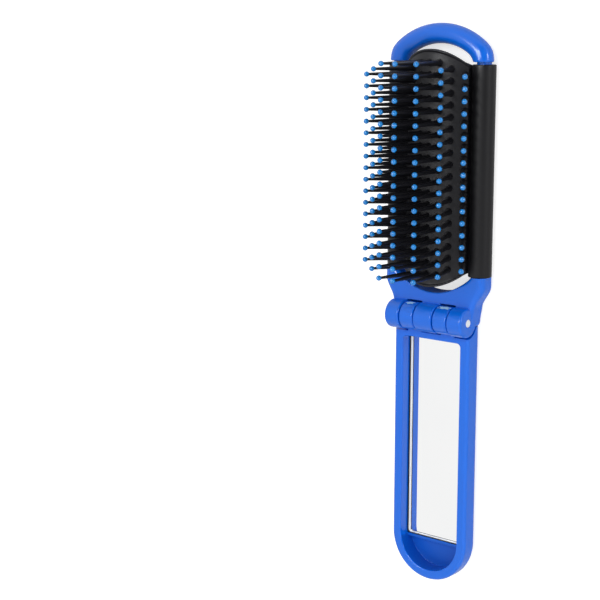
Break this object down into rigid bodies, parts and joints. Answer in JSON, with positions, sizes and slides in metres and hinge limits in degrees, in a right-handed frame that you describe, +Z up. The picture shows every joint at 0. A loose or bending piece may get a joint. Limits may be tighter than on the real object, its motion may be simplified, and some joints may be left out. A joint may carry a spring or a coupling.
{
  "type": "folding hairbrush with mirror",
  "caption": "Pocket hairbrush whose handle, with a mirror in its recess, folds over an arched head as its bristle pad pops back into the frame.",
  "frame": {"origin": "on the table under the middle of the open brush, which lies on its back", "axes": "+Y from the handle to the head, +Z up, the side of the bristles and the mirror, X along the hinge pin"},
  "size_m": [0.044, 0.2048, 0.0331],
  "materials": {
    "blue_plastic": "injection-moulded, satin gloss",
    "black_plastic": "flexible black moulding, satin",
    "tip_plastic": "dipped bright blue balls",
    "pin_steel": "drawn wire, cut ends",
    "mirror": "silvered float glass with cut edges",
    "foam_tape": "white foam tape"
  },
  "bodies": {
    "head": {"head_frame": "blue_plastic", "hinge_pin": "pin_steel", "rail_left": "black_plastic", "rail_right": "black_plastic"},
    "handle": {"handle_shell": "blue_plastic", "mirror_glass": "mirror", "mirror_tape": "foam_tape"},
    "strip_1": {"pad_strip_1": "black_plastic", "tips_1": "tip_plastic"},
    "strip_2": {"pad_strip_2": "black_plastic", "tips_2": "tip_plastic"},
    "strip_3": {"pad_strip_3": "black_plastic", "tips_3": "tip_plastic"},
    "strip_4": {"pad_strip_4": "black_plastic", "tips_4": "tip_plastic"},
    "strip_5": {"pad_strip_5": "black_plastic", "tips_5": "tip_plastic"},
    "strip_6": {"pad_strip_6": "black_plastic", "tips_6": "tip_plastic"},
    "strip_7": {"pad_strip_7": "black_plastic", "tips_7": "tip_plastic"}
  },
  "joints": [
    {"name": "handle_fold", "type": "hinge", "parent": "head", "child": "handle", "pos_m": [0, -0.00255, 0.0092], "axis": [-1, 0, 0], "range_deg": [0, 180]},
    {"name": "pad_strip_1_pop", "type": "hinge", "parent": "head", "child": "strip_1", "pos_m": [-0.02071, 0.05135, 0.00418], "axis": [0, 1, 0], "range_deg": [0, 65.9]},
    {"name": "pad_strip_2_pop", "type": "hinge", "parent": "head", "child": "strip_2", "pos_m": [-0.02816, 0.05135, 0.00445], "axis": [0, 1, 0], "range_deg": [0, 41.76]},
    {"name": "pad_strip_3_pop", "type": "hinge", "parent": "head", "child": "strip_3", "pos_m": [-0.06238, 0.05135, 0.00436], "axis": [0, 1, 0], "range_deg": [0, 17.39]},
    {"name": "pad_strip_4_pop", "type": "slide", "parent": "head", "child": "strip_4", "axis": [0, 0, -1], "range_m": [0, 0.0192]},
    {"name": "pad_strip_5_pop", "type": "hinge", "parent": "head", "child": "strip_5", "pos_m": [0.06238, 0.05135, 0.00436], "axis": [0, -1, 0], "range_deg": [0, 17.39]},
    {"name": "pad_strip_6_pop", "type": "hinge", "parent": "head", "child": "strip_6", "pos_m": [0.02816, 0.05135, 0.00445], "axis": [0, -1, 0], "range_deg": [0, 41.76]},
    {"name": "pad_strip_7_pop", "type": "hinge", "parent": "head", "child": "strip_7", "pos_m": [0.02071, 0.05135, 0.00418], "axis": [0, -1, 0], "range_deg": [0, 65.9]}
  ],
  "couplings": [
    {"joint": "pad_strip_1_pop", "follows": "handle_fold", "ratio": 0.3661},
    {"joint": "pad_strip_2_pop", "follows": "handle_fold", "ratio": 0.232},
    {"joint": "pad_strip_3_pop", "follows": "handle_fold", "ratio": 0.0966},
    {"joint": "pad_strip_4_pop", "follows": "handle_fold", "m_per_rad": 0.0061115},
    {"joint": "pad_strip_5_pop", "follows": "handle_fold", "ratio": 0.0966},
    {"joint": "pad_strip_6_pop", "follows": "handle_fold", "ratio": 0.232},
    {"joint": "pad_strip_7_pop", "follows": "handle_fold", "ratio": 0.3661}
  ]
}
